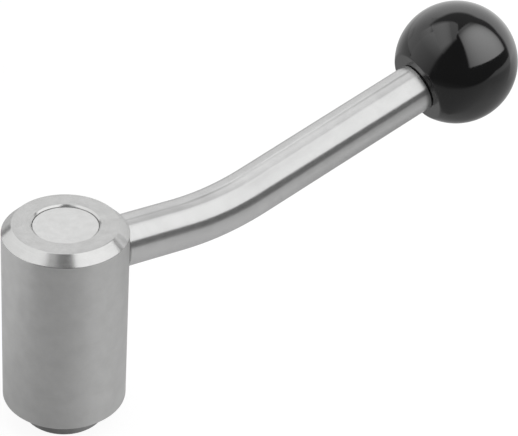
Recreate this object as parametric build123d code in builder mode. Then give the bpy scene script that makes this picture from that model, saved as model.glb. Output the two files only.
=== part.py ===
from build123d import *
from math import cos, radians, sin
import os

# Adjustable clamping lever with a ball knob, in millimetres.
# The origin is the middle of the insert's lower end face, +Z runs up the clamping axis
# and the lever points along +X. Lifting the lever parts the serrations, so it can be
# turned to another position on the insert, and the spring pushes it back into mesh.

# Hub
hub_radius = 12.0
hub_height = 39.5
hub_top_chamfer = 1.9
hub_foot_chamfer = 0.4
chamber_radius = 6.3
chamber_rim_chamfer = 0.2
web_thickness = 4.0

# Threaded insert
collar_radius = 8.0
collar_height = 4.7
collar_chamfer = 0.5
insert_length = 24.0
insert_thread_radius = 4.25
insert_thread_depth = 15.5
thread_mouth_chamfer = 0.8
guide_clearance = 0.05

# Serration between insert and hub
tooth_count = 24
tooth_length = 4.3
tooth_depth = 0.95
tooth_root_width = 1.44
tooth_tip_width = 0.5
tooth_lead_in = 0.35
tip_relief = 0.1
flank_clearance = 0.08
tooth_foot_gap = 0.1

# Retaining screw
head_radius = 6.15
head_thickness = 3.0
head_recess = 0.4
head_edge_chamfer = 0.15
shoulder_radius = 3.5
shoulder_clearance = 0.15
screw_thread_radius = 3.0
screw_thread_length = 7.0
screw_end_chamfer = 0.5
screw_thread_clearance = 0.02
hex_socket_width = 3.0
hex_socket_depth = 3.0

# Compression spring
wire_radius = 0.5
spring_wall_gap = 0.6
closed_turns = 1.0
closed_pitch_gap = 0.1
open_turns = 4.0
ground_depth = 0.35

# Lever rod
rod_radius = 5.0
rod_drop = 7.5
rod_seat_radius_gap = 0.05
bend_start = 24.2
bend_radius = 50.0
bend_angle = 20.0
rod_outer_length = 40.8
rod_end_chamfer = 0.5
hub_spigot_radius = 4.0
hub_spigot_length = 3.5
knob_spigot_radius = 3.0
knob_spigot_length = 8.0
spigot_clearance = 0.02
spigot_end_chamfer = 0.4

# Ball knob
knob_radius = 12.5
knob_flat_distance = 10.0
bush_radius = 4.5
bush_length = 9.5
bush_groove_depth = 0.5
bush_groove_start = 4.0
bush_groove_width = 2.0

# Heights along the clamping axis
hub_foot = collar_height
hub_top = hub_foot + hub_height
insert_top = insert_length
tooth_foot = insert_top - tooth_length
web_foot = insert_top
web_top = web_foot + web_thickness
head_top = hub_top - head_recess
head_foot = head_top - head_thickness
screw_end = insert_top - screw_thread_length
rod_height = hub_top - rod_drop

# Radii that follow from the fits
guide_radius = collar_radius + guide_clearance
insert_tip_radius = collar_radius - tip_relief
insert_root_radius = insert_tip_radius - tooth_depth
hub_tip_radius = insert_root_radius + tip_relief
hub_groove_radius = insert_tip_radius + tip_relief
web_hole_radius = shoulder_radius + shoulder_clearance
spring_mean_radius = chamber_radius - spring_wall_gap - wire_radius

# The rod's root stands on a flat where its own width meets the hub's round side
rod_root = (hub_radius**2 - rod_radius**2) ** 0.5
bend_end_x = bend_start + bend_radius * sin(radians(bend_angle))
bend_end_z = rod_height + bend_radius * (1 - cos(radians(bend_angle)))
rod_direction = Vector(cos(radians(bend_angle)), 0, sin(radians(bend_angle)))
rod_tip = Vector(bend_end_x, 0, bend_end_z) + rod_direction * rod_outer_length
knob_centre = rod_tip + rod_direction * knob_flat_distance
knob_axis = Axis(knob_centre, rod_direction)
knob_section = Plane(origin=rod_tip, x_dir=rod_direction, z_dir=(0, -1, 0))


def tooth_outline(inner, outer, gap):
    """One straight-sided tooth along local X, widened on each flank by a gap."""
    slope = (tooth_root_width - tooth_tip_width) / 2 / tooth_depth
    inner_half = tooth_root_width / 2 + gap + (insert_root_radius - inner) * slope
    outer_half = tooth_root_width / 2 + gap + (insert_root_radius - outer) * slope
    corners = [(inner, -inner_half), (outer, -outer_half), (outer, outer_half), (inner, inner_half)]
    Polygon(*corners, align=None)


def bush_outline():
    """Half section of the knob's bush, from its axis out, along the rod's direction."""
    groove_radius = bush_radius - bush_groove_depth
    groove_end = bush_groove_start + bush_groove_width
    corners = [
        (0, 0),
        (0, bush_radius),
        (bush_groove_start, bush_radius),
        (bush_groove_start, groove_radius),
        (groove_end, groove_radius),
        (groove_end, bush_radius),
        (bush_length, bush_radius),
        (bush_length, 0),
    ]
    Polygon(*corners, align=None)


os.makedirs("parts", exist_ok=True)

# Threaded insert: the turned foot that screws onto the clamping stud, toothed at its top
with BuildPart() as threaded_insert:
    with BuildSketch(Plane.XY):
        Circle(collar_radius)
    extrude(amount=tooth_foot)
    foot_edge = threaded_insert.edges().filter_by(GeomType.CIRCLE).sort_by(Axis.Z)[0]
    chamfer(foot_edge, length=collar_chamfer)
    with BuildSketch(Plane.XY.offset(tooth_foot)):
        Circle(insert_root_radius)
        with PolarLocations(0, tooth_count):
            tooth_outline(insert_root_radius - tip_relief, insert_tip_radius, 0)
    extrude(amount=tooth_length)
    with BuildSketch(Plane.XZ):
        lead_radius = insert_tip_radius + tip_relief
        with BuildLine():
            Polyline(
                (lead_radius, insert_top),
                (lead_radius, insert_top - tooth_lead_in - tip_relief),
                (insert_tip_radius - tooth_lead_in, insert_top),
                close=True,
            )
        make_face()
    revolve(axis=Axis.Z, mode=Mode.SUBTRACT)
    with BuildSketch(Plane.XY.offset(insert_thread_depth)):
        Circle(screw_thread_radius + screw_thread_clearance)
    extrude(until=Until.LAST, mode=Mode.SUBTRACT)
    with BuildSketch(Plane.XY):
        Circle(insert_thread_radius)
    extrude(amount=insert_thread_depth, mode=Mode.SUBTRACT)
    foot_face = threaded_insert.faces().sort_by(Axis.Z)[0]
    chamfer(foot_face.inner_wires()[0].edges(), length=thread_mouth_chamfer)
threaded_insert.part.label = "threaded_insert"
export_step(threaded_insert.part, "parts/threaded_insert.step")

# Retaining screw: its head is the plain disc in the hub's top and holds the spring down
with BuildPart() as retaining_screw:
    with BuildSketch(Plane.XY.offset(head_foot)):
        Circle(head_radius)
    extrude(amount=head_thickness)
    head_edge = retaining_screw.edges().filter_by(GeomType.CIRCLE).sort_by(Axis.Z)[-1]
    chamfer(head_edge, length=head_edge_chamfer)
    with BuildSketch(Plane.XY.offset(insert_top)):
        Circle(shoulder_radius)
    extrude(amount=head_foot - insert_top)
    with BuildSketch(Plane.XY.offset(screw_end)):
        Circle(screw_thread_radius)
    extrude(amount=screw_thread_length)
    end_edge = retaining_screw.edges().filter_by(GeomType.CIRCLE).sort_by(Axis.Z)[0]
    chamfer(end_edge, length=screw_end_chamfer)
    with BuildSketch(Plane.XY.offset(screw_end)):
        RegularPolygon(hex_socket_width / 2, 6, major_radius=False)
    extrude(amount=hex_socket_depth, mode=Mode.SUBTRACT)
retaining_screw.part.label = "retaining_screw"
export_step(retaining_screw.part, "parts/retaining_screw.step")

# Compression spring: closed and ground ends, between the hub's web and the screw's head
closed_pitch = 2 * wire_radius + closed_pitch_gap
closed_rise = closed_turns * closed_pitch
path_foot = web_top + wire_radius - ground_depth
path_top = head_foot - wire_radius + ground_depth
open_rise = path_top - path_foot - 2 * closed_rise
open_start = Location((0, 0, closed_rise), (0, 0, 360 * closed_turns))
closed_start = Location((0, 0, closed_rise + open_rise), (0, 0, 360 * (closed_turns + open_turns)))
with BuildPart() as compression_spring:
    with BuildLine(Plane.XY.offset(path_foot)) as coil:
        closed_coil = Helix(closed_pitch, closed_rise, spring_mean_radius)
        open_coil = Helix(open_rise / open_turns, open_rise, spring_mean_radius, mode=Mode.PRIVATE)
        add(open_coil.moved(open_start))
        add(closed_coil.moved(closed_start))
    wire_path = coil.wires()[0]
    with BuildSketch(wire_path ^ 0):
        Circle(wire_radius)
    sweep(path=wire_path, is_frenet=True)
    split(bisect_by=Plane.XY.offset(web_top), keep=Keep.TOP)
    split(bisect_by=Plane.XY.offset(head_foot), keep=Keep.BOTTOM)
compression_spring.part.label = "compression_spring"
export_step(compression_spring.part, "parts/compression_spring.step")

# Hub: chamber for the spring and the screw's head, web, inner serration and guide bore
with BuildPart() as hub:
    with BuildSketch(Plane.XY.offset(hub_foot)):
        Circle(hub_radius)
    extrude(amount=hub_height)
    rims = hub.edges().filter_by(GeomType.CIRCLE).sort_by(Axis.Z)
    chamfer(rims[-1], length=hub_top_chamfer)
    chamfer(rims[0], length=hub_foot_chamfer)
    with BuildSketch(Plane.XY.offset(web_top)):
        Circle(chamber_radius)
    extrude(until=Until.LAST, mode=Mode.SUBTRACT)
    chamber_rim = hub.edges().filter_by(GeomType.CIRCLE).group_by(Axis.Z)[-1].sort_by(SortBy.RADIUS)[0]
    chamfer(chamber_rim, length=chamber_rim_chamfer)
    with BuildSketch(Plane.XY.offset(hub_foot)):
        Circle(guide_radius)
    extrude(amount=tooth_foot + tooth_foot_gap - hub_foot, mode=Mode.SUBTRACT)
    with BuildSketch(Plane.XY.offset(tooth_foot)):
        Circle(hub_tip_radius)
        with PolarLocations(0, tooth_count):
            tooth_outline(hub_tip_radius - tip_relief, hub_groove_radius, flank_clearance)
    extrude(amount=web_foot - tooth_foot, mode=Mode.SUBTRACT)
    with BuildSketch(Plane.XY.offset(web_foot)):
        Circle(web_hole_radius)
    extrude(amount=web_thickness, mode=Mode.SUBTRACT)
    with BuildSketch(Plane.YZ.offset(rod_root)):
        with Locations((0, rod_height)):
            Circle(rod_radius + rod_seat_radius_gap)
    extrude(amount=hub_radius, mode=Mode.SUBTRACT)
    with BuildSketch(Plane.YZ.offset(rod_root - hub_spigot_length)):
        with Locations((0, rod_height)):
            Circle(hub_spigot_radius + spigot_clearance)
    extrude(amount=hub_radius, mode=Mode.SUBTRACT)
hub.part.label = "hub"
export_step(hub.part, "parts/hub.step")

# Lever rod: polished bar with one bend, a spigot into the hub and a thread into the knob
with BuildPart() as lever_rod:
    with BuildLine(Plane.XZ) as rod_line:
        inner_run = Line((rod_root, rod_height), (bend_start, rod_height))
        bend = JernArc(inner_run @ 1, inner_run % 1, bend_radius, bend_angle)
        Line(bend @ 1, bend @ 1 + (bend % 1) * rod_outer_length)
    with BuildSketch(Plane.YZ.offset(rod_root)):
        with Locations((0, rod_height)):
            Circle(rod_radius)
    sweep(path=rod_line.wires()[0])
    rod_ends = lever_rod.faces().filter_by(GeomType.PLANE).sort_by(Axis.X)
    chamfer(rod_ends[0].edges() + rod_ends[-1].edges(), length=rod_end_chamfer)
    with BuildSketch(Plane.YZ.offset(rod_root - hub_spigot_length)):
        with Locations((0, rod_height)):
            Circle(hub_spigot_radius)
    extrude(amount=hub_spigot_length)
    with BuildSketch(Plane(origin=rod_tip, z_dir=rod_direction)):
        Circle(knob_spigot_radius)
    extrude(amount=knob_spigot_length)
    spigot_ends = lever_rod.faces().filter_by(GeomType.PLANE).sort_by(Axis.X)
    chamfer(spigot_ends[0].edges() + spigot_ends[-1].edges(), length=spigot_end_chamfer)
lever_rod.part.label = "lever_rod"
export_step(lever_rod.part, "parts/lever_rod.step")

# Knob bush: threaded sleeve moulded into the knob, held by its groove
with BuildPart() as knob_bush:
    with BuildSketch(knob_section):
        bush_outline()
    revolve(axis=knob_axis)
    with BuildSketch(Plane(origin=rod_tip, z_dir=rod_direction)):
        Circle(knob_spigot_radius + spigot_clearance)
    extrude(amount=bush_length, mode=Mode.SUBTRACT)
knob_bush.part.label = "knob_bush"
export_step(knob_bush.part, "parts/knob_bush.step")

# Ball knob: moulded ball with a flat towards the rod
flat_radius = (knob_radius**2 - knob_flat_distance**2) ** 0.5
with BuildPart() as ball_knob:
    with BuildSketch(knob_section):
        with BuildLine():
            flat = Line((0, 0), (0, flat_radius))
            crown = (knob_flat_distance, knob_radius)
            pole = (knob_flat_distance + knob_radius, 0)
            ThreePointArc(flat @ 1, crown, pole)
            Line(pole, flat @ 0)
        make_face()
    revolve(axis=knob_axis)
    with BuildSketch(knob_section):
        bush_outline()
    revolve(axis=knob_axis, mode=Mode.SUBTRACT)
ball_knob.part.label = "ball_knob"
export_step(ball_knob.part, "parts/ball_knob.step")
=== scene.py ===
import math

import bmesh
import bpy
from mathutils import Matrix, Vector


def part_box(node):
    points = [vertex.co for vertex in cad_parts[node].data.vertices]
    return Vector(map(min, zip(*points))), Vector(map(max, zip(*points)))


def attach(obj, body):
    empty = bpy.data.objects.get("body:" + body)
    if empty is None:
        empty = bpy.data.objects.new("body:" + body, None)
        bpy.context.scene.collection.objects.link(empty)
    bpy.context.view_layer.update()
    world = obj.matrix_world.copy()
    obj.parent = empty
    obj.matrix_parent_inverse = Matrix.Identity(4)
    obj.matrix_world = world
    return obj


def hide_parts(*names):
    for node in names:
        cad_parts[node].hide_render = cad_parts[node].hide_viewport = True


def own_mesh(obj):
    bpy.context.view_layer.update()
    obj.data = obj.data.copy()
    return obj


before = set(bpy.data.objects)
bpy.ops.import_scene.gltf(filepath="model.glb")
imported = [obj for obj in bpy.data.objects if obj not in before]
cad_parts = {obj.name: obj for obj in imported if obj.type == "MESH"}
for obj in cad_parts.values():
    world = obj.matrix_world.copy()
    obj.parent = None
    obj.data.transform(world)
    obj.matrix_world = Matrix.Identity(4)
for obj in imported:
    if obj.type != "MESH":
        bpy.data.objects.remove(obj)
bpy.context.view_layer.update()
mm = 0.001
fullTurn = 2 * math.pi
scene = bpy.context.scene
print("frame loaded:", len(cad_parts), "CAD nodes")

# places read from the frame, in mm

hubLow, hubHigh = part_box("hub")
screwLow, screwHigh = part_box("retaining_screw")
springLow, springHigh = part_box("compression_spring")
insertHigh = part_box("threaded_insert")[1]
footZ, topZ, hubRadius = hubLow.z / mm, hubHigh.z / mm, hubHigh.x / mm

# the bar's outer run and the knob on it lean up by this angle

barTilt = math.radians(20)
barDirection = Vector((math.cos(barTilt), 0, math.sin(barTilt)))
barTurn = (0, math.pi / 2 - barTilt, 0)

# small helpers for turned work


def profileWire(bm, corners):  # corners are (radius, height, rounding) in mm; the wire stays open on the axis
    verts = [bm.verts.new((radius * mm, 0, height * mm)) for radius, height, rounding in corners]
    ends = verts[1:] if corners[0][0] == 0 and corners[-1][0] == 0 else verts[1:] + verts[:1]
    for pair in zip(verts, ends):
        bm.edges.new(pair)
    for vert, (radius, height, rounding) in zip(verts, corners):
        if rounding:
            bmesh.ops.bevel(bm, geom=[vert], offset=rounding * mm, offset_type="OFFSET", segments=3,
                            profile=0.5, affect="VERTICES", material=-1)


def joinDoubles(bm):
    bmesh.ops.remove_doubles(bm, verts=bm.verts[:], dist=0.0005 * mm)


def spinProfile(bm, steps):  # turns the wire into a closed lathe shape about Z
    bmesh.ops.spin(bm, geom=bm.verts[:] + bm.edges[:], cent=(0, 0, 0), axis=(0, 0, 1), dvec=(0, 0, 0),
                   angle=fullTurn, steps=steps, use_merge=True, use_duplicate=False)
    joinDoubles(bm)
    bmesh.ops.recalc_face_normals(bm, faces=bm.faces[:])


def turnedShape(corners, steps):
    bm = bmesh.new()
    profileWire(bm, corners)
    spinProfile(bm, steps)
    return bm


def looseObject(name, bm):
    mesh = bpy.data.meshes.new(name)
    bm.to_mesh(mesh)
    bm.free()
    obj = bpy.data.objects.new(name, mesh)
    scene.collection.objects.link(obj)
    return obj


def cutAway(bm, cutter):  # takes the cutter's shape out of bm
    blank, tool = looseObject("blank", bm), looseObject("tool", cutter)
    cut = blank.modifiers.new("cut", "BOOLEAN")
    cut.object, cut.operation, cut.solver = tool, "DIFFERENCE", "EXACT"
    bpy.context.view_layer.update()
    shape = bpy.data.meshes.new_from_object(blank.evaluated_get(bpy.context.evaluated_depsgraph_get()))
    result = bmesh.new()
    result.from_mesh(shape)
    for obj in (blank, tool):
        leftover = obj.data
        bpy.data.objects.remove(obj)
        bpy.data.meshes.remove(leftover)
    bpy.data.meshes.remove(shape)
    joinDoubles(result)
    return result


def toothGaps(count, inner, outer, low, high):  # a ring of tapered blocks, whose ends are (radius, width)
    ring = bmesh.new()
    for number in range(count):
        made = bmesh.ops.create_cube(ring, size=1)["verts"]
        for vert in made:
            radius, width = outer if vert.co.x > 0 else inner
            vert.co = (radius * mm, vert.co.y * width * mm, (high if vert.co.z > 0 else low) * mm)
        bmesh.ops.rotate(ring, verts=made, cent=(0, 0, 0),
                         matrix=Matrix.Rotation(fullTurn * number / count, 3, "Z"))
    return ring


def helicalBlade(values):  # a thread cutter; its section is (radius, height) from where it starts
    blade = bmesh.new()
    low, pitch, stepsPerTurn = values["threadStart"], values["threadPitch"], 48
    face = blade.faces.new([blade.verts.new((radius * mm, 0, (low + height) * mm))
                            for radius, height in values["threadSection"]])
    bmesh.ops.spin(blade, geom=[face] + face.verts[:] + face.edges[:], cent=(0, 0, 0), axis=(0, 0, 1),
                   dvec=(0, 0, pitch * mm / stepsPerTurn), angle=fullTurn * values["threadTurns"],
                   steps=stepsPerTurn * values["threadTurns"], use_merge=False, use_duplicate=False)
    bmesh.ops.recalc_face_normals(blade, faces=blade.faces[:])
    return blade


def finishPiece(name, bm, body, node, materials, chooseMaterial=None, sharpAngle=28):
    bmesh.ops.recalc_face_normals(bm, faces=bm.faces[:])
    for face in bm.faces:
        face.smooth = True
        if chooseMaterial:
            face.material_index = chooseMaterial(face.calc_center_median() / mm, face.normal)
    piece = looseObject(name, bm)
    piece.data.set_sharp_from_angle(angle=math.radians(sharpAngle))
    for material in materials:
        piece.data.materials.append(material)
    shading = piece.modifiers.new("evenShading", "WEIGHTED_NORMAL")
    shading.keep_sharp = True
    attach(piece, body)
    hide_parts(node)
    print("piece", name, len(piece.data.polygons), "faces")
    return piece


# finishes


class Nodes:  # short way to add and join shader nodes
    def __init__(self, owner):
        owner.use_nodes = True
        self.tree = owner.node_tree
        self.tree.nodes.clear()

    def add(self, kind, inputs=None, **settings):
        node = self.tree.nodes.new(kind)
        for key, value in settings.items():
            setattr(node, key, value)
        for key, value in (inputs or {}).items():
            if isinstance(value, bpy.types.NodeSocket):
                self.tree.links.new(value, node.inputs[key])
            else:
                node.inputs[key].default_value = value
        return node

    def math(self, operation, first, second=0.0, third=0.0):
        return self.add("ShaderNodeMath", {0: first, 1: second, 2: third}, operation=operation).outputs[0]

    def vector(self, operation, first, second=(0, 0, 0), third=(0, 0, 0)):
        return self.add("ShaderNodeVectorMath", {0: first, 1: second, 2: third}, operation=operation).outputs

    def rescale(self, value, low, high, newLow, newHigh):
        return self.add("ShaderNodeMapRange", {"Value": value, "From Min": low, "From Max": high,
                                               "To Min": newLow, "To Max": newHigh}).outputs["Result"]

    def blend(self, factor, first, second):
        return self.add("ShaderNodeMix", {"Factor": factor, "A": first, "B": second}).outputs["Result"]

    def blendColour(self, factor, first, second):
        mix = self.add("ShaderNodeMix", {"Factor": factor}, data_type="RGBA")
        mix.inputs[6].default_value, mix.inputs[7].default_value = (*first, 1), (*second, 1)
        return mix.outputs[2]

    def speckle(self, place, size, detail, roughness=0.5):  # noise with grains of about size mm
        return self.add("ShaderNodeTexNoise", {"Vector": place, "Scale": 1 / (size * mm), "Detail": detail,
                                               "Roughness": roughness}).outputs["Fac"]

    def streaks(self, across, pitch, detail, roughness=0.5):  # noise along one direction only
        return self.add("ShaderNodeTexNoise", {"W": across, "Scale": 1 / (pitch * mm), "Detail": detail,
                                               "Roughness": roughness}, noise_dimensions="1D").outputs["Fac"]

    def pattern(self, values):  # object coordinates, and the same with their Z turned along the bar if asked
        raw = self.add("ShaderNodeTexCoord").outputs["Object"]
        if "centre" not in values:
            return raw, raw
        return raw, self.add("ShaderNodeMapping", {"Vector": raw, "Location": values["centre"],
                                                   "Rotation": barTurn}, vector_type="TEXTURE").outputs[0]

    def bump(self, height, depth):
        return self.add("ShaderNodeBump", {"Height": height, "Strength": 1.0,
                                           "Distance": depth * mm}).outputs[0]


def layDirection(nodes, lay, raw, flat):  # lay is "bar" or how far the marks' spread leans outward and upward
    if lay == "bar":
        bendStart = rodValues["bendStart"]
        bendEnd = bendStart + rodValues["bendRadius"] * math.sin(barTilt)
        run = nodes.add("ShaderNodeSeparateXYZ", {0: raw}).outputs[0]
        angle = nodes.rescale(run, bendStart * mm, bendEnd * mm, 0, barTilt)
        return nodes.add("ShaderNodeCombineXYZ", {0: nodes.math("COSINE", angle),
                                                  2: nodes.math("SINE", angle)}).outputs[0]
    outward = nodes.vector("NORMALIZE", flat)[0]
    return nodes.vector("MULTIPLY_ADD", outward, (lay[0],) * 3, (0, 0, lay[1]))[0]


def machinedSteel(name, values):
    material = bpy.data.materials.new(name)
    nodes = Nodes(material)
    raw, place = nodes.pattern(values)
    height = nodes.add("ShaderNodeSeparateXYZ", {0: place}).outputs[2]
    flat = nodes.vector("MULTIPLY", place, (1, 1, 0))[0]
    radius = nodes.vector("LENGTH", flat)["Value"]
    across = {"height": height, "radius": radius,
              "both": nodes.math("SUBTRACT", height, radius)}[values["linesAcross"]]
    fineLines = nodes.streaks(across, values["linePitch"], 3.0, 0.6)
    broadLines = nodes.streaks(across, values["linePitch"] * 9, 2.0)
    clouds = nodes.speckle(place, values["cloudSize"], 5.0, 0.62)
    grain = nodes.speckle(place, values["grainSize"], 3.0)
    share = values.get("lineShare", 1.0)
    lines = nodes.math("MULTIPLY_ADD", fineLines, 0.25 * share,
                       nodes.math("MULTIPLY", broadLines, 0.15 * share))
    shade = nodes.math("MULTIPLY_ADD", clouds, 1 - 0.4 * share, lines)
    colour = nodes.blendColour(nodes.rescale(shade, 0.35, 0.65, 0, 1), values["darker"], values["lighter"])
    gloss = nodes.math("MULTIPLY_ADD", clouds, 0.6, nodes.math("MULTIPLY", broadLines, 0.4))
    roughness = nodes.rescale(gloss, 0.3, 0.7, values["smoothest"], values["roughest"])
    relief = nodes.math("MULTIPLY_ADD", grain, values["grainShare"],
                        nodes.math("MULTIPLY_ADD", broadLines, 0.6, fineLines))
    shader = nodes.add("ShaderNodeBsdfPrincipled", {"Base Color": colour, "Metallic": 0.85,
                                                    "Roughness": roughness,
                                                    "Normal": nodes.bump(relief, values["lineDepth"])})
    if "lay" in values:  # machining marks spread the gloss along this direction
        shader.inputs["Anisotropic"].default_value = values["spread"]
        lay = nodes.add("ShaderNodeVectorTransform", {0: layDirection(nodes, values["lay"], raw, flat)},
                        vector_type="VECTOR", convert_from="OBJECT", convert_to="WORLD").outputs[0]
        nodes.tree.links.new(lay, shader.inputs["Tangent"])
    nodes.add("ShaderNodeOutputMaterial", {"Surface": shader.outputs[0]})
    return material


def mouldedGloss(name, values):
    material = bpy.data.materials.new(name)
    nodes = Nodes(material)
    place = nodes.pattern(values)[1]
    haze = nodes.speckle(place, values["hazeSize"], 6.0, 0.65)
    flecks = nodes.speckle(place, values["fleckSize"], 2.0)
    tone = nodes.math("MULTIPLY_ADD", haze, 0.6, nodes.math("MULTIPLY", flecks, 0.4))
    colour = nodes.blendColour(nodes.rescale(tone, 0.35, 0.65, 0, 1), values["darker"], values["lighter"])
    roughness = nodes.rescale(haze, 0.3, 0.7, values["smoothest"], values["roughest"])
    peel = nodes.bump(nodes.speckle(place, values["peelSize"], 1.5), values["peelDepth"])
    shader = nodes.add("ShaderNodeBsdfPrincipled", {"Base Color": colour, "Roughness": roughness,
                                                    "Normal": peel, "IOR": values["ior"]})
    nodes.add("ShaderNodeOutputMaterial", {"Surface": shader.outputs[0]})
    return material


# hub: turned cylinder with its spring chamber above the web and the toothed band below it

hubValues = {"chamfer": 1.9, "footChamfer": 0.4, "edgeRounding": 0.1, "chamberRadius": 6.3,
             "chamberFloor": 28.0, "rimChamfer": 0.35, "paintedBrightBand": 1.5, "webLow": 24.0, "stemHole": 3.65,
             "toothTip": 7.05, "teethLow": 19.8, "teeth": 24, "gapInner": (6.6, 1.25),
             "gapOuter": (8.0, 1.6), "boreRadius": 8.05, "mouthChamfer": 0.25, "rodSeat": 10.909,
             "rodSeatRadius": 5.05, "spigotRadius": 4.02, "spigotDepth": 7.409, "rodHeight": 36.7,
             "steps": 128}


def hubFinish(centre, normal):  # 0 side, 1 top, 2 chamfer, rim and the painted bright band of the chamber wall, 3 bored and cut faces
    radius, near = math.hypot(centre.x, centre.y), 0.05
    if centre.z > topZ - near and normal.z > 0.9:
        return 1
    if centre.z > topZ - hubValues["chamfer"] - near and radius > hubRadius - hubValues["chamfer"] - near:
        return 2
    # the chamber wall's top band takes the lighter chamfer steel: its lighter colour is painted brightness
    # for light the wall reflects, its lower roughness a smoother finish
    if centre.z > topZ - hubValues["paintedBrightBand"]:
        return 2
    return 0 if radius > hubRadius - 0.25 else 3


def makeHub():
    values = hubValues
    soft, rim, chamber = values["edgeRounding"], values["rimChamfer"], values["chamberRadius"]
    bore, mouth = values["boreRadius"], values["mouthChamfer"]
    foot, bevel = values["footChamfer"], values["chamfer"]
    floorZ, webZ, teethZ = values["chamberFloor"], values["webLow"], values["teethLow"]
    # the corner at the painted bright band only splits the straight chamber wall, so that its top band can
    # take the lighter steel
    corners = [(hubRadius - foot, footZ, soft), (hubRadius, footZ + foot, soft),
               (hubRadius, topZ - bevel, soft), (hubRadius - bevel, topZ, soft),
               (chamber + rim, topZ, 0.05), (chamber, topZ - rim, 0.05),
               (chamber, topZ - values["paintedBrightBand"], 0), (chamber, floorZ, 0.25),
               (values["stemHole"], floorZ, 0.1), (values["stemHole"], webZ, 0),
               (values["toothTip"], webZ, 0), (values["toothTip"], teethZ, 0), (bore, teethZ, 0),
               (bore, footZ + mouth, 0.05), (bore + mouth, footZ, 0.05)]
    bm = turnedShape(corners, values["steps"])
    bm = cutAway(bm, toothGaps(values["teeth"], values["gapInner"], values["gapOuter"],
                               teethZ - 0.6, webZ))
    for radius, start, end in ((values["rodSeatRadius"], values["rodSeat"], hubRadius + 3),
                               (values["spigotRadius"], values["spigotDepth"], values["rodSeat"] + 1)):
        seat = bmesh.new()
        made = bmesh.ops.create_cone(seat, cap_ends=True, segments=96, depth=(end - start) * mm,
                                     radius1=radius * mm, radius2=radius * mm)["verts"]
        bmesh.ops.rotate(seat, verts=made, cent=(0, 0, 0), matrix=Matrix.Rotation(math.pi / 2, 3, "Y"))
        bmesh.ops.translate(seat, verts=made, vec=((start + end) / 2 * mm, 0, values["rodHeight"] * mm))
        bm = cutAway(bm, seat)
    return bm


sideSteel = machinedSteel("turnedSideSteel", {
    "linesAcross": "height", "linePitch": 0.3, "lineDepth": 0.0003, "lineShare": 0.3, "cloudSize": 3.2,
    "grainSize": 0.3, "grainShare": 0.2, "smoothest": 0.34, "roughest": 0.42, "lay": (0, 1), "spread": 0.7,
    "darker": (0.595, 0.595, 0.59), "lighter": (0.65, 0.65, 0.645)})
topSteel = machinedSteel("facedTopSteel", {
    "linesAcross": "radius", "linePitch": 0.2, "lineDepth": 0.0005, "cloudSize": 2.2, "grainSize": 0.25,
    "grainShare": 0.3, "smoothest": 0.18, "roughest": 0.26, "lay": (1, 0), "spread": 0.4,
    "darker": (0.545, 0.545, 0.54), "lighter": (0.64, 0.64, 0.635)})
chamferSteel = machinedSteel("chamferSteel", {
    "linesAcross": "both", "linePitch": 0.2, "lineDepth": 0.0003, "cloudSize": 3.0, "grainSize": 0.25,
    "grainShare": 0.3, "smoothest": 0.2, "roughest": 0.26, "lay": (0.7, -0.7), "spread": 0.7,
    "darker": (0.58, 0.58, 0.575), "lighter": (0.66, 0.66, 0.655)})
boredSteel = machinedSteel("boredSteel", {
    "linesAcross": "both", "linePitch": 0.2, "lineDepth": 0.001, "cloudSize": 3.0, "grainSize": 0.3,
    "grainShare": 0.4, "smoothest": 0.25, "roughest": 0.36,
    "darker": (0.44, 0.44, 0.435), "lighter": (0.54, 0.54, 0.535)})

hub = finishPiece("hubTurned", makeHub(), "lever", "hub",
                  [sideSteel, topSteel, chamferSteel, boredSteel], hubFinish)

# threaded insert: collar with outer teeth and the clamping thread

insertValues = {"radius": 8.0, "collarTop": 19.7, "top": insertHigh.z / mm, "footChamfer": 0.5, "teeth": 24,
                "toothTip": 7.9, "toothRoot": 6.95, "rootWidth": 1.44, "tipWidth": 0.5, "gapReach": 8.3,
                "leadIn": 0.35, "boreRadius": 4.25, "boreTop": 15.5, "boreEnd": 0.4, "mouthChamfer": 0.8,
                "stemHole": 3.02, "stemChamfer": 0.15, "steps": 96,
                "threadRadius": 5.0, "threadPitch": 1.5, "threadTurns": 10, "threadStart": -1.2,
                "threadSection": ((3.9, -0.62), (4.25, -0.47), (5.0, -0.09),
                                  (5.0, 0.09), (4.25, 0.47), (3.9, 0.62))}


def makeInsert():
    values = insertValues
    top, tip, bore, stem = values["top"], values["toothTip"], values["boreRadius"], values["stemHole"]
    collar, foot = values["radius"], values["footChamfer"]
    corners = [(collar - foot, 0, 0.1), (collar, foot, 0.1),
               (collar, values["collarTop"], 0), (tip, values["collarTop"], 0),
               (tip, top - values["leadIn"], 0), (tip - values["leadIn"], top, 0),
               (stem + values["stemChamfer"], top, 0), (stem, top - values["stemChamfer"], 0),
               (stem, values["boreTop"], 0), (bore - values["boreEnd"], values["boreTop"], 0),
               (bore, values["boreTop"] - values["boreEnd"], 0), (bore, values["mouthChamfer"], 0),
               (bore + values["mouthChamfer"], 0, 0.05)]
    bm = turnedShape(corners, values["steps"])
    gaps = [(radius, fullTurn * radius / values["teeth"] - toothWidth) for radius, toothWidth in
            ((values["toothRoot"], values["rootWidth"]), (values["gapReach"], values["tipWidth"]))]
    bm = cutAway(bm, toothGaps(values["teeth"], *gaps, values["collarTop"], top + 0.5))
    return cutAway(bm, helicalBlade(values))


def insertFinish(centre, normal):  # 0 collar and teeth, 1 bore and thread
    inBore = math.hypot(centre.x, centre.y) < insertValues["threadRadius"] + 0.02
    return 1 if inBore and centre.z < insertValues["top"] - 0.2 else 0


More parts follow.
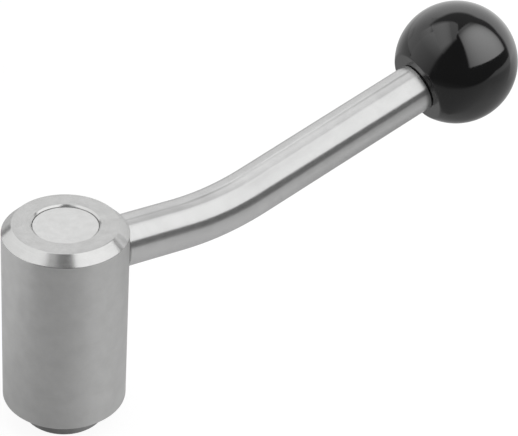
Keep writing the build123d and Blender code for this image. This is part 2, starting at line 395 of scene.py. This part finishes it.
collarSteel = machinedSteel("collarSteel", {
    "linesAcross": "both", "linePitch": 0.2, "lineDepth": 0.001, "cloudSize": 2.0, "grainSize": 0.3,
    "grainShare": 0.4, "smoothest": 0.24, "roughest": 0.36,
    "darker": (0.29, 0.29, 0.29), "lighter": (0.38, 0.38, 0.38)})
threadSteel = machinedSteel("threadSteel", {
    "linesAcross": "height", "linePitch": 0.08, "lineDepth": 0.0006, "cloudSize": 3.0, "grainSize": 0.2,
    "grainShare": 0.4, "smoothest": 0.2, "roughest": 0.32,
    "darker": (0.3, 0.3, 0.3), "lighter": (0.4, 0.4, 0.4)})

insert = finishPiece("insertCollar", makeInsert(), "insert", "threaded_insert",
                     [collarSteel, threadSteel], insertFinish)

# retaining screw: its plain head closes the hub's chamber

screwValues = {"headRadius": 6.22, "headTop": screwHigh.z / mm, "headThickness": 3.0, "headEdge": 0.15,
               "shoulderRadius": 3.5, "shoulderLow": 24.0, "stemRadius": 3.0, "stemLow": screwLow.z / mm,
               "endChamfer": 0.5, "socketWidth": 3.0, "socketDepth": 3.0, "steps": 96,
               "threadPitch": 1.0, "threadTurns": 7, "threadStart": 16.4,
               "threadSection": ((2.55, 0.06), (2.55, -0.06), (3.0, -0.32),
                                 (3.3, -0.45), (3.3, 0.45), (3.0, 0.32))}
headLow = screwValues["headTop"] - screwValues["headThickness"]


def makeScrew():
    values = screwValues
    shoulder, stem, low = values["shoulderRadius"], values["stemRadius"], values["stemLow"]
    corners = [(0, values["headTop"], 0), (values["headRadius"], values["headTop"], values["headEdge"]),
               (values["headRadius"], headLow, 0.1), (shoulder, headLow, 0.1),
               (shoulder, values["shoulderLow"], 0.05), (stem, values["shoulderLow"], 0),
               (stem, low + values["endChamfer"], 0), (stem - values["endChamfer"], low, 0), (0, low, 0)]
    bm = turnedShape(corners, values["steps"])
    socket = bmesh.new()
    cornerRadius = values["socketWidth"] / math.sqrt(3) * mm
    made = bmesh.ops.create_cone(socket, cap_ends=True, segments=6, depth=(values["socketDepth"] + 1) * mm,
                                 radius1=cornerRadius, radius2=cornerRadius)["verts"]
    bmesh.ops.translate(socket, verts=made, vec=(0, 0, (low + (values["socketDepth"] - 1) / 2) * mm))
    return cutAway(cutAway(bm, socket), helicalBlade(values))


def screwFinish(centre, normal):  # 0 head, 1 stem
    return 0 if centre.z > headLow - 0.05 else 1


discSteel = machinedSteel("discSteel", {
    "linesAcross": "radius", "linePitch": 0.2, "lineDepth": 0.0003, "cloudSize": 1.8, "grainSize": 0.2,
    "grainShare": 0.4, "smoothest": 0.14, "roughest": 0.2, "lay": (1, 0), "spread": 0.4,
    "darker": (0.68, 0.68, 0.675), "lighter": (0.76, 0.76, 0.755)})
stemSteel = machinedSteel("stemSteel", {
    "linesAcross": "height", "linePitch": 0.12, "lineDepth": 0.0006, "cloudSize": 2.5, "grainSize": 0.2,
    "grainShare": 0.4, "smoothest": 0.16, "roughest": 0.26,
    "darker": (0.42, 0.42, 0.415), "lighter": (0.5, 0.5, 0.495)})

screw = finishPiece("screwDisc", makeScrew(), "insert", "retaining_screw",
                    [discSteel, stemSteel], screwFinish)

# spring: wire wound between the web and the screw's head, ends ground flat

springValues = {"wireRadius": 0.5, "coilRadius": 5.2, "low": springLow.z / mm, "high": springHigh.z / mm,
                "closedPitch": 1.1, "openTurns": 4, "groundDepth": 0.35, "closedHeight": 7.8,
                "wireSides": 20, "stepsPerTurn": 48}


def makeSpring():
    values = springValues
    bm = bmesh.new()
    start = values["low"] + values["wireRadius"] - values["groundDepth"]
    rise = values["high"] - values["wireRadius"] + values["groundDepth"] - start
    openPitch = (rise - 2 * values["closedPitch"]) / values["openTurns"]
    ring = bmesh.ops.create_circle(bm, cap_ends=False, radius=values["wireRadius"] * mm,
                                   segments=values["wireSides"])["verts"]
    bmesh.ops.rotate(bm, verts=ring, cent=(0, 0, 0), matrix=Matrix.Rotation(math.pi / 2, 3, "X"))
    bmesh.ops.translate(bm, verts=ring, vec=(values["coilRadius"] * mm, 0, start * mm))
    last = bm.verts[:] + bm.edges[:]
    closed = (values["closedPitch"], 1)
    for pitch, turns in (closed, (openPitch, values["openTurns"]), closed):
        last = bmesh.ops.spin(bm, geom=last, cent=(0, 0, 0), axis=(0, 0, 1),
                              dvec=(0, 0, pitch * mm / values["stepsPerTurn"]), angle=fullTurn * turns,
                              steps=values["stepsPerTurn"] * turns, use_merge=False,
                              use_duplicate=False)["geom_last"]
    bmesh.ops.remove_doubles(bm, verts=bm.verts[:], dist=0.001 * mm)
    bmesh.ops.holes_fill(bm, edges=[edge for edge in bm.edges if edge.is_boundary], sides=0)
    bmesh.ops.recalc_face_normals(bm, faces=bm.faces[:])
    for level, side in ((values["low"], -1), (values["high"], 1)):  # grinds the ends
        bmesh.ops.bisect_plane(bm, geom=bm.verts[:] + bm.edges[:] + bm.faces[:], dist=0.0001 * mm,
                               plane_co=(0, 0, level * mm), plane_no=(0, 0, side), clear_outer=True)
        bmesh.ops.holes_fill(bm, edges=[edge for edge in bm.edges if edge.is_boundary], sides=0)
    return bm


springSteel = machinedSteel("springSteel", {
    "linesAcross": "radius", "linePitch": 0.1, "lineDepth": 0.0006, "cloudSize": 1.5, "grainSize": 0.15,
    "grainShare": 0.5, "smoothest": 0.16, "roughest": 0.26,
    "darker": (0.34, 0.34, 0.345), "lighter": (0.45, 0.45, 0.455)})

spring = finishPiece("springCoil", makeSpring(), "spring", "compression_spring",
                     [springSteel], sharpAngle=50)
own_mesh(spring)

# lever rod: polished bar with one bend, a spigot at each end

rodValues = {"radius": 5.0, "height": 36.7, "root": 10.909, "bendStart": 24.2, "bendRadius": 50.0,
             "tip": (79.641, 0, 53.669), "hubEndChamfer": 0.5, "knobEndChamfer": 0.25,
             "hubSpigotRadius": 4.0, "hubSpigotLength": 3.5, "knobSpigotRadius": 3.0, "knobSpigotLength": 8.0,
             "spigotChamfer": 0.4, "sides": 96, "bendSteps": 24}
edgeRounding = ((0, 1), (0.35, 0.5), (0.65, 0.2), (1, 0))  # shares of an edge: along the bar, off its radius


def makeRod():
    values = rodValues
    bm = bmesh.new()
    along = Vector((1, 0, 0))
    radius, bevel = values["radius"], values["spigotChamfer"]
    spigot, spigotRadius = values["hubSpigotLength"], values["hubSpigotRadius"]
    first = Vector((values["root"] - spigot, 0, values["height"])) * mm
    tip = Vector(values["tip"]) * mm

    def ringOn(ring, centre, newRadius, oldRadius):  # draws the open ring on to a new centre and radius
        grown = bmesh.ops.extrude_edge_only(bm, edges=ring)["geom"]
        verts = [item for item in grown if isinstance(item, bmesh.types.BMVert)]
        edges = [item for item in grown if isinstance(item, bmesh.types.BMEdge)]
        middle = sum((vert.co for vert in verts), Vector()) / len(verts)
        bmesh.ops.translate(bm, verts=verts, vec=centre - middle)
        bmesh.ops.scale(bm, verts=verts, vec=(newRadius / oldRadius,) * 3, space=Matrix.Translation(-centre))
        return edges

    def ringsOn(edges, start, direction, rings, oldRadius):  # rings are (run, radius) from the start
        for run, newRadius in rings:
            edges = ringOn(edges, start + direction * run * mm, newRadius, oldRadius)
            oldRadius = newRadius
        return edges

    ring = bmesh.ops.create_circle(bm, cap_ends=True, segments=values["sides"],
                                   radius=(spigotRadius - bevel) * mm)["verts"]
    bmesh.ops.rotate(bm, verts=ring, cent=(0, 0, 0), matrix=Matrix.Rotation(math.pi / 2, 3, "Y"))
    bmesh.ops.translate(bm, verts=ring, vec=first)
    soft = values["hubEndChamfer"]
    rings = [(bevel, spigotRadius), (spigot, spigotRadius)]
    rings += [(spigot + run * soft, radius - off * soft) for run, off in edgeRounding]
    rings += [(spigot + values["bendStart"] - values["root"], radius)]
    edges = ringsOn(bm.edges[:], first, along, rings, spigotRadius - bevel)
    bendCentre = Vector((values["bendStart"], 0, values["height"] + values["bendRadius"])) * mm
    bent = bmesh.ops.spin(bm, geom=edges + list({vert for edge in edges for vert in edge.verts}),
                          cent=bendCentre, axis=(0, -1, 0), dvec=(0, 0, 0), angle=barTilt,
                          steps=values["bendSteps"], use_merge=False, use_duplicate=False)["geom_last"]
    edges = [item for item in bent if isinstance(item, bmesh.types.BMEdge)]
    soft = values["knobEndChamfer"]
    spigot, spigotRadius = values["knobSpigotLength"], values["knobSpigotRadius"]
    rings = [(-run * soft, radius - off * soft) for run, off in reversed(edgeRounding)]
    rings += [(0, spigotRadius), (spigot - bevel, spigotRadius), (spigot, spigotRadius - bevel)]
    edges = ringsOn(edges, tip, barDirection, rings, radius)
    bmesh.ops.holes_fill(bm, edges=edges, sides=0)
    joinDoubles(bm)
    return bm


rodSteel = machinedSteel("polishedBarSteel", {
    "linesAcross": "height", "linePitch": 0.25, "lineDepth": 0.0003, "cloudSize": 4.0, "grainSize": 0.4,
    "grainShare": 0.6, "smoothest": 0.2, "roughest": 0.26, "lay": "bar", "spread": 0.75,
    "darker": (0.58, 0.58, 0.578), "lighter": (0.65, 0.65, 0.648), "centre": Vector(rodValues["tip"]) * mm})

rod = finishPiece("rodBent", makeRod(), "lever", "lever_rod", [rodSteel])

# ball knob: glossy moulded ball with a flat towards the bar

knobValues = {"radius": 12.5, "centre": (89.04, 0, 57.09), "flatAt": 10.0, "flatEdge": 0.25,
              "bushRadius": 4.5, "bushLength": 9.5, "ridgeLow": 4.0, "ridgeHigh": 6.0, "ridgeDepth": 0.5,
              "arcSteps": 64, "steps": 128}
knobCentre = Vector(knobValues["centre"]) * mm


def turnToBar(bm):  # from upright at the origin to its place on the bar
    bmesh.ops.rotate(bm, verts=bm.verts[:], cent=(0, 0, 0), matrix=Matrix.Rotation(barTurn[1], 3, "Y"))
    bmesh.ops.translate(bm, verts=bm.verts[:], vec=knobCentre)
    return bm


def makeKnob():
    values = knobValues
    bm = bmesh.new()
    flat, bush = -values["flatAt"], values["bushRadius"]
    low, high, ridge = flat + values["ridgeLow"], flat + values["ridgeHigh"], bush - values["ridgeDepth"]
    rim, end = math.sqrt(values["radius"] ** 2 - values["flatAt"] ** 2), flat + values["bushLength"]
    inner = [(0, end), (bush, end), (bush, high), (ridge, high), (ridge, low), (bush, low), (bush, flat),
             (rim, flat)]
    wire = [bm.verts.new((radius * mm, 0, height * mm)) for radius, height in inner]
    for pair in zip(wire, wire[1:]):
        bm.edges.new(pair)
    sweep = math.pi / 2 + math.atan2(values["flatAt"], rim)
    bmesh.ops.spin(bm, geom=[wire[-1]], cent=(0, 0, 0), axis=(0, -1, 0), dvec=(0, 0, 0), angle=sweep,
                   steps=values["arcSteps"], use_merge=False, use_duplicate=False)
    bmesh.ops.bevel(bm, geom=[wire[-1]], offset=values["flatEdge"] * mm, offset_type="OFFSET", segments=4,
                    profile=0.5, affect="VERTICES", material=-1)
    spinProfile(bm, values["steps"])
    return turnToBar(bm)


knobPlastic = mouldedGloss("glossyBlackPlastic", {
    "peelSize": 2.2, "peelDepth": 0.0016, "hazeSize": 6.0, "fleckSize": 0.5, "smoothest": 0.06,
    "roughest": 0.11, "ior": 1.68, "darker": (0.001, 0.001, 0.0011), "lighter": (0.002, 0.002, 0.0022),
    "centre": knobCentre})

knob = finishPiece("knobBall", makeKnob(), "lever", "ball_knob", [knobPlastic])

# bush moulded into the knob

bushValues = {"radius": 4.5, "length": 9.5, "grooveLow": 4.0, "grooveHigh": 6.0, "grooveDepth": 0.5,
              "bore": 3.02, "steps": 64}


def makeBush():
    values = bushValues
    flat = -knobValues["flatAt"]
    outer, groove = values["radius"], values["radius"] - values["grooveDepth"]
    low, high, end = flat + values["grooveLow"], flat + values["grooveHigh"], flat + values["length"]
    corners = [(values["bore"], flat, 0.05), (outer, flat, 0.05), (outer, low, 0.04), (groove, low, 0),
               (groove, high, 0), (outer, high, 0.04), (outer, end, 0.05), (values["bore"], end, 0.05)]
    return turnToBar(turnedShape(corners, values["steps"]))


bushBrass = machinedSteel("bushBrass", {
    "linesAcross": "radius", "linePitch": 0.15, "lineDepth": 0.0006, "cloudSize": 2.0, "grainSize": 0.2,
    "grainShare": 0.4, "smoothest": 0.18, "roughest": 0.28, "darker": (0.6, 0.42, 0.17),
    "lighter": (0.72, 0.53, 0.24), "centre": knobCentre})

bush = finishPiece("bushSleeve", makeBush(), "lever", "knob_bush", [bushBrass])

# camera

cameraValues = {"place": (-0.1395762, -0.2661811, 0.2412133), "yaw": 0.968886047, "pitch": 0.573423236,
                "roll": 0.072697472, "lens": 134.07}


def makeCamera(values):
    yaw, pitch, roll = values["yaw"], values["pitch"], values["roll"]
    ahead = Vector((math.cos(pitch) * math.cos(yaw), math.cos(pitch) * math.sin(yaw), -math.sin(pitch)))
    right = Vector((math.sin(yaw), -math.cos(yaw), 0))
    upward = right.cross(ahead)
    side = right * math.cos(roll) + upward * math.sin(roll)
    head = upward * math.cos(roll) - right * math.sin(roll)
    data = bpy.data.cameras.new("studioCamera")
    data.lens, data.sensor_width = values["lens"], 36.0
    data.clip_start, data.clip_end = 0.01, 20.0
    camera = bpy.data.objects.new("studioCamera", data)
    turn = Matrix((side, head, -ahead)).transposed().to_4x4()
    camera.matrix_world = Matrix.Translation(values["place"]) @ turn
    scene.collection.objects.link(camera)
    scene.camera = camera
    print("camera set")


makeCamera(cameraValues)

# floor: it keeps the object's shadow, and away from the object its mirror image fades to the room's;
# each painted shade darkens that mirror image (painted shadows under the knob and behind the hub, a painted
# dimming far in front) and is a centre, then the reach and the brightness that it goes through from there
# outward

floorValues = {"radius": 3.0, "drop": 0.05, "paleness": 0.72, "cameraWhite": 1.2, "whiteShare": 0.76,
               "shadowReach": (0.14, 0.4), "mirrorReach": (0.03, 0.25), "mirrorShare": 0.7,
               "paintedShades": {"underKnob": ((0.11, 0, 0), (0.0, 0.05, 0.6, 1.0)),
                          "farFront": ((0.3, -0.2, 0), (0.1, 0.3, 0.65, 1.0)),
                          "behindHub": ((-0.017, 0.004, 0), (0.002, 0.026, 0.66, 1.0))}}


def makeFloor(values):
    bm = bmesh.new()
    bmesh.ops.create_circle(bm, cap_ends=True, segments=96, radius=values["radius"])
    bmesh.ops.translate(bm, verts=bm.verts[:], vec=(0, 0, -values["drop"] * mm))
    floor = looseObject("paleFloor", bm)
    material = bpy.data.materials.new("paleFloor")
    nodes = Nodes(material)
    place = nodes.add("ShaderNodeTexCoord").outputs["Object"]
    reach = nodes.vector("LENGTH", place)["Value"]
    path = nodes.add("ShaderNodeLightPath").outputs
    seen = nodes.math("MAXIMUM", path["Is Camera Ray"], path["Is Transmission Ray"])
    whiteShare = nodes.math("MULTIPLY", seen,
                            nodes.rescale(reach, *values["shadowReach"], values["whiteShare"], 1.0))
    mirrorShare = nodes.math("MULTIPLY", path["Is Glossy Ray"],
                             nodes.rescale(reach, *values["mirrorReach"], values["mirrorShare"], 1.0))
    # painted shadows: the floor's mirror image, as glossy rays see it, is darkened around each centre
    shade = 1.0
    for centre, reachAndShade in values["paintedShades"].values():
        away = nodes.vector("DISTANCE", place, centre)["Value"]
        shade = nodes.math("MULTIPLY", shade, nodes.rescale(away, *reachAndShade))
    lit = nodes.add("ShaderNodeBsdfDiffuse", {"Color": (values["paleness"],) * 3 + (1,)}).outputs[0]
    white = nodes.add("ShaderNodeEmission", {"Strength": values["cameraWhite"]}).outputs[0]
    # the room seen through the floor for glossy rays, darkened by the painted shades
    room = nodes.add("ShaderNodeBsdfTransparent", {"Color": shade}).outputs[0]
    clear = nodes.add("ShaderNodeBsdfTransparent").outputs[0]
    below = nodes.add("ShaderNodeNewGeometry").outputs["Backfacing"]
    surface = lit
    for factor, other in ((whiteShare, white), (mirrorShare, room), (below, clear)):
        surface = nodes.add("ShaderNodeMixShader", {0: factor, 1: surface, 2: other}).outputs[0]
    nodes.add("ShaderNodeOutputMaterial", {"Surface": surface})
    floor.data.materials.append(material)
    print("floor laid")
    return floor


floor = makeFloor(floorValues)

# room around it, in degrees of heading and height: a pale wall between its left and right ends, whose top
# leans down from one heading and steps up at another, a dark gap in it, and a pale sweep from floor to wall

roomValues = {"wallLeft": (-12, -6), "lowLean": 0.3, "highLean": 0.9, "highFrom": 25, "wallRight": (140, 150),
              "wallTop": (43, 49), "topFrom": 85, "topLean": -0.3, "topStep": (109, 113, 6),
              "gapHeading": (96, 109), "gapHeight": (-4, 10), "gapGlow": 0.2, "sweep": (-28, -7),
              "sweepEnd": (35, 75)}
worldValues = {"wallGlow": (0.82, 0.97), "frontDim": 0.11, "backDim": 0.25, "ambient": 0.2,
               "darkHeading": -142, "brightHeading": -25, "floorGlow": (0.58, 0.28), "floorLift": 0.05,
               "tableEdge": (0.37, 0.5), "edgeHeading": -140}


def roomShape(nodes, heading, values):  # which part of the room a heading meets
    parts = nodes.add("ShaderNodeSeparateXYZ", {0: heading}).outputs
    azimuth = nodes.math("DEGREES", nodes.math("ARCTAN2", parts[1], parts[0]))
    height = nodes.math("DEGREES", nodes.math("ARCSINE", parts[2]))

    def between(value, low, high):  # 1 between low and high with soft ends
        middle = nodes.math("ABSOLUTE", nodes.math("SUBTRACT", value, (low + high) / 2))
        return nodes.rescale(middle, (high - low) / 2 - 2, (high - low) / 2 + 2, 1, 0)

    above = nodes.math("MAXIMUM", nodes.math("SUBTRACT", height, values["highFrom"]), 0.0)
    lean = nodes.math("MULTIPLY_ADD", above, values["highLean"],
                      nodes.math("MULTIPLY", height, values["lowLean"]))
    leftEnd = nodes.rescale(nodes.math("SUBTRACT", azimuth, lean), *values["wallLeft"], 0, 1)
    wall = nodes.math("MULTIPLY", leftEnd, nodes.rescale(azimuth, *values["wallRight"], 1, 0))
    stepFrom, stepTo, step = values["topStep"]
    past = nodes.rescale(azimuth, values["topFrom"], stepTo, 0, stepTo - values["topFrom"])
    rise = nodes.math("MULTIPLY_ADD", past, values["topLean"],
                      nodes.rescale(azimuth, stepFrom, stepTo, 0, step))
    top = nodes.rescale(nodes.math("SUBTRACT", height, rise), *values["wallTop"], 1, 0)
    wall = nodes.math("MULTIPLY", wall, top)
    swept = nodes.math("MULTIPLY", wall, nodes.rescale(azimuth, *values["sweepEnd"], 1, 0))
    down = nodes.blend(swept, nodes.rescale(height, -1, 1, 1, 0),
                       nodes.rescale(height, *values["sweep"], 1, 0))
    gap = nodes.math("MULTIPLY", between(azimuth, *values["gapHeading"]),
                     between(height, *values["gapHeight"]))
    gap = nodes.math("MULTIPLY", gap, nodes.math("SUBTRACT", 1.0, down))
    return {"parts": parts, "azimuth": azimuth, "height": height, "wall": wall, "gap": gap, "down": down}


def roomGlow(nodes, room, values):  # the room's light above the horizon
    litWall = nodes.math("MULTIPLY", room["wall"], nodes.math("SUBTRACT", 1.0, room["gap"]))
    glow = nodes.rescale(room["height"], 0, 40, *values["wallGlow"])
    dim = nodes.rescale(room["parts"][1], -0.3, 0.2, values["frontDim"], values["backDim"])
    above = nodes.blend(litWall, dim, glow)
    return nodes.math("MULTIPLY", above, nodes.rescale(room["gap"], 0, 1, 1, roomValues["gapGlow"]))


def roomFrom(nodes, eye):  # the room as a point on the knob sees it through the place being lit
    place = nodes.add("ShaderNodeNewGeometry").outputs["Position"]
    heading = nodes.vector("NORMALIZE", nodes.vector("SUBTRACT", place, Vector(eye) * mm)[0])[0]
    return roomShape(nodes, heading, roomValues)


def makeWorld(values):
    world = bpy.data.worlds.new("studioRoom")
    scene.world = world
    nodes = Nodes(world)
    room = roomShape(nodes, nodes.add("ShaderNodeTexCoord").outputs["Generated"], roomValues)

    def towards(degrees):  # how far a heading points towards a compass direction, -1 to 1
        turned = nodes.math("SUBTRACT", nodes.math("RADIANS", room["azimuth"]), math.radians(degrees))
        return nodes.math("COSINE", turned)

    under = nodes.math("ADD", nodes.rescale(towards(values["darkHeading"]), 0.2, 1.0, *values["floorGlow"]),
                       nodes.rescale(towards(values["brightHeading"]), 0.6, 1.0, 0, values["floorLift"]))
    drop = nodes.math("MULTIPLY", room["parts"][2], -1.0)
    flat = nodes.math("SQRT", nodes.math("SUBTRACT", 1.0, nodes.math("MULTIPLY", drop, drop)))
    outward = nodes.math("MULTIPLY", flat, nodes.math("MAXIMUM", towards(values["edgeHeading"]), 0.02))
    steepness = nodes.math("DIVIDE", drop, nodes.math("MAXIMUM", outward, 0.001))
    onTable = nodes.rescale(steepness, *values["tableEdge"], 0, 1)
    under = nodes.blend(onTable, values["frontDim"], under)
    mirrored = nodes.blend(room["down"], roomGlow(nodes, room, values), under)
    path = nodes.add("ShaderNodeLightPath").outputs
    seen = nodes.math("MAXIMUM", path["Is Camera Ray"], path["Is Transmission Ray"])
    level = nodes.blend(path["Is Glossy Ray"], values["ambient"], mirrored)
    sky = nodes.add("ShaderNodeBackground", {"Color": (1, 1, 1, 1),
                                             "Strength": nodes.math("MAXIMUM", level, seen)}).outputs[0]
    nodes.add("ShaderNodeOutputWorld", {"Surface": sky})
    print("room ready")


makeWorld(worldValues)

# soft panels, in metres: axes are the width and height directions, "on" is what a panel is kept to.
# Its light falls off by a slope (across, upward), a dome (middle and strength across, the same upward) and
# a first and last end (place, slant, softness), in shares of its size. "back" is the glow of a card behind
# it, and "eye" is the point on the knob, in mm, from which it follows the room.

softboxAxes = ((0.951, 0.309, 0), (-0.097, 0.298, 0.95))
cardAxes = ((-0.545, -0.839, 0), (0.27, -0.174, 0.947))
highAxes = ((-0.545, -0.839, 0), (0.1, -0.065, 0.993))
panelValues = {
    "softbox": {"centre": (0.1851, -0.0875, 0.4352), "axes": softboxAxes, "size": (0.479, 0.654),
                "radiance": 1.26, "on": "others", "dome": (0.5, 0, 0.3, 0.25), "back": 0.11},
    "knobSoftbox": {"centre": (0.2348, -0.0609, 0.4655), "axes": softboxAxes, "size": (0.527, 0.694),
                    "radiance": 2.95, "on": "knob", "dome": (0.455, 3.27, 0.289, 2.89), "least": 0.3,
                    "first": (0.024, 0.048, 0.018), "last": (0.848, 0.096, 0.045)},
    "lowCard": {"centre": (-0.0855, 0.0346, 0.1035), "axes": cardAxes, "size": (0.192, 0.2186),
                "radiance": 0.54, "slope": (-0.463, 0.232), "last": (0.93, 0, 0.07), "back": 0.13},
    "lowCardSteel": {"centre": (-0.0852, 0.0344, 0.1033), "axes": cardAxes, "size": (0.192, 0.2186),
                     "radiance": 0.455, "on": "steel", "slope": (0.69, 0.165), "last": (0.93, 0, 0.07)},
    "lowCardKnob": {"centre": (-0.0528, 0.042, 0.1706), "axes": cardAxes, "size": (0.24, 0.0765),
                    "radiance": 0.25, "on": "knob", "slope": (0, 1), "dome": (0.2, 0.6, 0, 0),
                    "last": (0.93, 0, 0.07)},
    "highCard": {"centre": (-0.0108, 0.0294, 0.46), "axes": highAxes, "size": (0.43, 0.51), "radiance": 0.86,
                 "on": "others", "slope": (0.15, -0.2), "first": (0.1, -1, 0.04), "last": (0.83, 0.15, 0.14),
                 "back": "room", "eye": (83.6, 0.6, 68.3)},
    "highCardKnob": {"centre": (-0.0017, 0.0233, 0.5481), "axes": highAxes, "size": (0.43, 0.6885),
                     "radiance": 0.68, "on": "knob",
                     "first": (0.235, -0.4, 0.05), "last": (0.765, 0.2, 0.07)},
    "highCardLift": {"centre": (-0.0231, 0.0373, 0.3335), "axes": highAxes, "size": (0.43, 0.255),
                     "radiance": 0.58, "on": "knob", "dome": (0.5, 0, 0.36, 2.8),
                     "first": (0.235, -0.148, 0.05), "last": (0.765, 0.1, 0.07)},
    "skyPanel": {"centre": (0.305, 0.23, 1.2), "axes": ((1, 0, 0), (0, 1, 0)), "size": (0.91, 1.06),
                 "radiance": 0.594, "on": "steel", "slope": (-0.19, 0.223)},
    "wallKnob": {"centre": (0.487, 0.45, 0.36), "axes": ((-0.749, 0.663, 0), (0, 0, 1)), "size": (2.46, 2.1),
                 "radiance": 0.36, "on": "knob", "fades": (75, 105), "gapFill": 2.1,
                 "eye": (79.8, 4.2, 64.4)},
    "floorSteel": {"centre": (0.01, -0.29, 0.0004), "axes": ((0, -1, 0), (-1, 0, 0)), "size": (0.6, 0.32),
                   "radiance": 0.125, "on": "steel", "slope": (0, 0.86), "first": (0.03, 0, 0.03)},
    "knobSideCard": {"centre": (0.0714, -0.0004, 0.0565), "axes": ((0.05, -1, 0), (0.2, 0, 0.98)),
                     "size": (0.02, 0.018), "radiance": 0.5, "on": "hub"}}
objectMiddle = Vector((0.03, 0, 0.04))
backDistance = 0.003


def panelFalloff(nodes, values):  # the panel's strength over its face
    face = nodes.add("ShaderNodeNewGeometry").outputs["Parametric"]
    spot = nodes.add("ShaderNodeSeparateXYZ", {0: face}).outputs
    slope, level = values.get("slope", (0, 0)), 1.0
    for side in (0, 1):
        level = nodes.math("MULTIPLY_ADD", spot[side], 2 * slope[side], level)
    level = nodes.math("SUBTRACT", level, slope[0] + slope[1])
    if "dome" in values:
        for side in (0, 1):
            middle, strength = values["dome"][2 * side:2 * side + 2]
            away = nodes.math("SUBTRACT", spot[side], middle)
            bowl = nodes.math("MULTIPLY_ADD", nodes.math("MULTIPLY", away, away), -strength, 1.0)
            level = nodes.math("MULTIPLY", level, nodes.math("MAXIMUM", bowl, values.get("least", 0.0)))
    for end, way in (("first", 1), ("last", -1)):
        if end in values:
            middle, slant, soft = values[end]
            edge = nodes.math("MULTIPLY_ADD", spot[1], slant, middle)
            inside = nodes.math("MULTIPLY", nodes.math("SUBTRACT", spot[0], edge), way)
            level = nodes.math("MULTIPLY", level, nodes.rescale(inside, -soft, soft, 0, 1))
    return level


def wallLift(nodes, values):  # follows the wall as the knob sees it and fills the wall's dark gap
    room = roomFrom(nodes, values["eye"])
    lift = nodes.math("MULTIPLY", nodes.rescale(room["azimuth"], *values["fades"], 1, 0),
                      nodes.rescale(room["height"], *roomValues["sweep"], 0, 1))
    return nodes.math("MULTIPLY", room["wall"],
                      nodes.math("MULTIPLY_ADD", room["gap"], values["gapFill"], lift))


def makeBack(name, values, turn, outward):  # a dim card right behind a panel, so that nothing shines through
    bm = bmesh.new()
    bmesh.ops.create_grid(bm, x_segments=1, y_segments=1, size=0.5)
    bmesh.ops.scale(bm, verts=bm.verts[:], vec=(*values["size"], 1))
    place = Matrix.Translation(Vector(values["centre"]) + backDistance * outward)
    bmesh.ops.transform(bm, verts=bm.verts[:], matrix=place @ turn)
    card = looseObject(name, bm)
    material = bpy.data.materials.new(name)
    nodes = Nodes(material)
    glow = values["back"]
    if glow == "room":
        glow = roomGlow(nodes, roomFrom(nodes, values["eye"]), worldValues)
    nodes.add("ShaderNodeOutputMaterial", {
        "Surface": nodes.add("ShaderNodeEmission", {"Strength": glow}).outputs[0]})
    card.data.materials.append(material)
    card.visible_camera = False


def makePanel(name, values, receivers):
    across, upward = (Vector(axis).normalized() for axis in values["axes"])
    outward = across.cross(upward).normalized()
    if outward.dot(Vector(values["centre"]) - objectMiddle) < 0:
        across, outward = -across, -outward
    turn = Matrix((across, upward, outward)).transposed().to_4x4()
    width, height = values["size"]
    data = bpy.data.lights.new(name, "AREA")
    data.shape, data.size, data.size_y = "RECTANGLE", width, height
    data.energy = values["radiance"] * math.pi * width * height
    nodes = Nodes(data)
    level = wallLift(nodes, values) if "fades" in values else panelFalloff(nodes, values)
    glow = nodes.add("ShaderNodeEmission", {"Strength": nodes.math("MAXIMUM", level, 0.0)}).outputs[0]
    nodes.add("ShaderNodeOutputLight", {"Surface": glow})
    panel = bpy.data.objects.new(name, data)
    panel.matrix_world = Matrix.Translation(values["centre"]) @ turn
    panel.visible_camera = False
    scene.collection.objects.link(panel)
    if "on" in values:
        panel.light_linking.receiver_collection = receivers[values["on"]]
    if "back" in values:
        makeBack(name + "Back", values, turn, outward)


steelPieces = (hub, insert, screw, rod)
receivers = {}
for group, members in (("knob", (knob,)), ("hub", (hub,)), ("steel", steelPieces),
                       ("others", (*steelPieces, spring, bush, floor))):
    receivers[group] = bpy.data.collections.new(group + "Only")
    for member in members:
        receivers[group].objects.link(member)
for panelName, panelSet in panelValues.items():
    makePanel(panelName, panelSet, receivers)
scene.view_settings.view_transform = "Standard"
print("studio ready:", len(panelValues), "panels")
